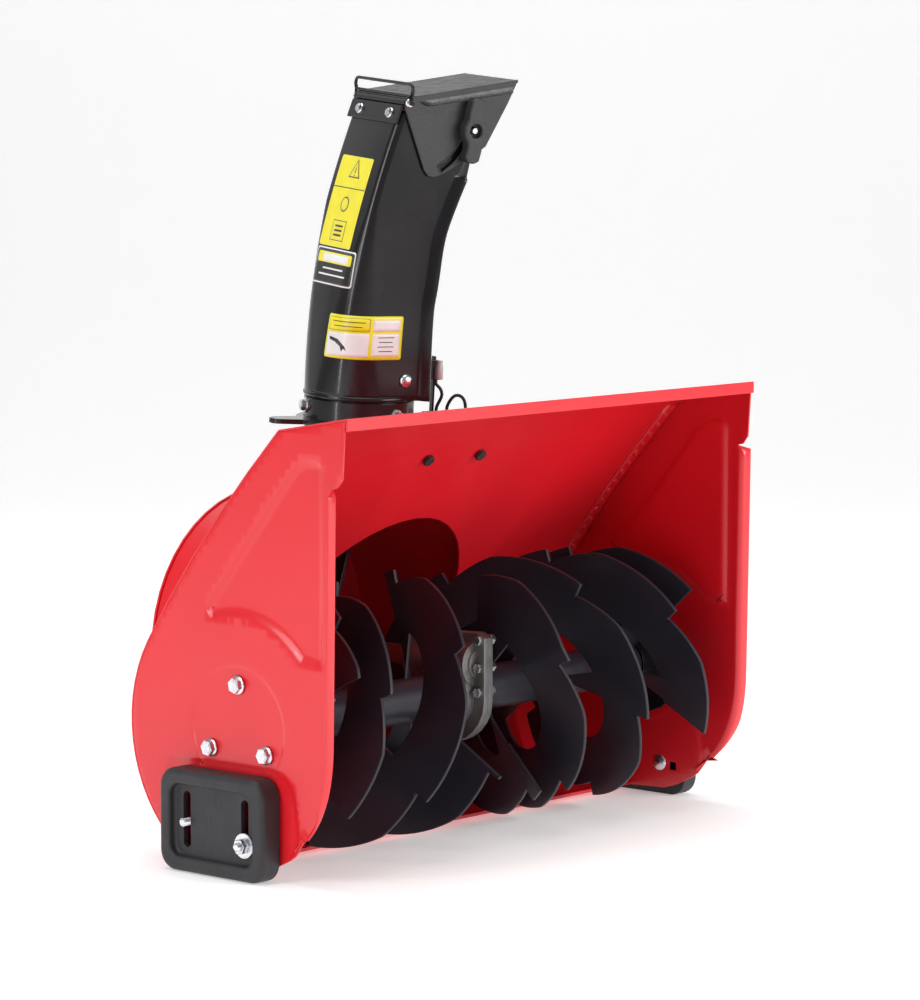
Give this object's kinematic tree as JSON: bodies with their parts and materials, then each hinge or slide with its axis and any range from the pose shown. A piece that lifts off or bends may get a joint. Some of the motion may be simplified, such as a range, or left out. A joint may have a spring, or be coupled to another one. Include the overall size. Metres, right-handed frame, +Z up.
{
  "type": "two-stage snow blower attachment",
  "caption": "Two-stage snow blower head with toothed auger, geared impeller, turning discharge chute, tilting deflector and height-adjustable skid shoes.",
  "frame": {"origin": "middle of the whole machine's footprint, on the ground under the skid shoes", "axes": "+X across the machine, -Y out of the mouth, +Z up; the chute stands turned towards +X and a little forward"},
  "size_m": [0.654, 0.4438, 0.743],
  "materials": {
    "red_paint": "gloss",
    "black_paint": "gloss",
    "auger_paint": "semi-gloss",
    "black_plastic": "satin",
    "skid_plastic": "matte",
    "zinc": "zinc plated",
    "steel": "machined",
    "cast_aluminium": "as cast",
    "bronze": "machined",
    "cable_black": "matte"
  },
  "bodies": {
    "housing": {"housing_back_sheet": "red_paint", "side_plate_left": "red_paint", "side_plate_right": "red_paint", "scraper_bar": "red_paint", "impeller_drum": "red_paint", "drum_rear_wall": "red_paint", "chute_neck": "red_paint", "chute_support_ring": "black_paint", "mounting_flange": "red_paint", "impeller_bearing_housing": "cast_aluminium", "auger_bearing_left": "black_paint", "auger_bearing_right": "black_paint", "end_bolt_left_1": "zinc", "end_bolt_left_2": "zinc", "end_bolt_left_3": "zinc", "end_bolt_right_1": "zinc", "end_bolt_right_2": "zinc", "end_bolt_right_3": "zinc", "skid_bolt_left_front": "zinc", "skid_bolt_left_rear": "zinc", "skid_bolt_right_front": "zinc", "skid_bolt_right_rear": "zinc", "skid_nut_left": "zinc", "skid_nut_right": "zinc", "sheet_bolt_left": "black_plastic", "sheet_bolt_right": "black_plastic", "cable_bracket": "black_paint", "control_cable_1": "cable_black", "control_cable_2": "cable_black", "gearbox_case_left": "cast_aluminium", "gearbox_case_right": "cast_aluminium", "case_bolt_1": "zinc", "case_bolt_2": "zinc", "case_bolt_3": "zinc"},
    "auger": {"auger_shaft": "steel", "worm_wheel": "bronze", "auger_tube_left": "auger_paint", "auger_tube_right": "auger_paint", "auger_ribbon_left_1": "auger_paint", "auger_ribbon_left_2": "auger_paint", "auger_ribbon_left_3": "auger_paint", "auger_ribbon_right_1": "auger_paint", "auger_ribbon_right_2": "auger_paint", "auger_ribbon_right_3": "auger_paint", "shear_bolt_left": "zinc", "shear_bolt_right": "zinc"},
    "impeller": {"impeller_shaft": "steel", "impeller": "black_paint", "input_coupling": "steel"},
    "chute": {"discharge_chute": "black_paint", "chute_front_plate": "black_paint", "hinge_bracket": "black_paint", "knob_bolt": "zinc"},
    "deflector": {"deflector": "black_plastic", "hinge_wire": "black_paint"},
    "knob": {"wing_knob": "black_plastic"},
    "skid_left": {"skid_shoe_left": "skid_plastic"},
    "skid_right": {"skid_shoe_right": "skid_plastic"}
  },
  "joints": [
    {"name": "auger_spin", "type": "hinge", "parent": "housing", "child": "auger", "pos_m": [0, -0.0824, 0.1375], "axis": [1, 0, 0], "continuous": true},
    {"name": "impeller_spin", "type": "hinge", "parent": "housing", "child": "impeller", "pos_m": [0, -0.0824, 0.1695], "axis": [0, 1, 0], "continuous": true},
    {"name": "chute_turn", "type": "hinge", "parent": "housing", "child": "chute", "pos_m": [0, 0.0419, 0.426], "axis": [0, -0.0698, 0.9976], "range_deg": [-172, 28]},
    {"name": "deflector_tilt", "type": "hinge", "parent": "chute", "child": "deflector", "pos_m": [0.01046, 0.01814, 0.71705], "axis": [-0.309, -0.9487, -0.0663], "range_deg": [-4, 36]},
    {"name": "knob_turn", "type": "hinge", "parent": "chute", "child": "knob", "pos_m": [0.0766, -0.00153, 0.6903], "axis": [-0.309, -0.9487, -0.0663], "range_deg": [0, 270]},
    {"name": "skid_left_slide", "type": "slide", "parent": "housing", "child": "skid_left", "axis": [0, 0, 1], "range_m": [-0.024, 0.0045]},
    {"name": "skid_right_slide", "type": "slide", "parent": "housing", "child": "skid_right", "axis": [0, 0, 1], "range_m": [-0.024, 0.0045]}
  ],
  "couplings": [
    {"joint": "impeller_spin", "follows": "auger_spin", "ratio": 10}
  ]
}
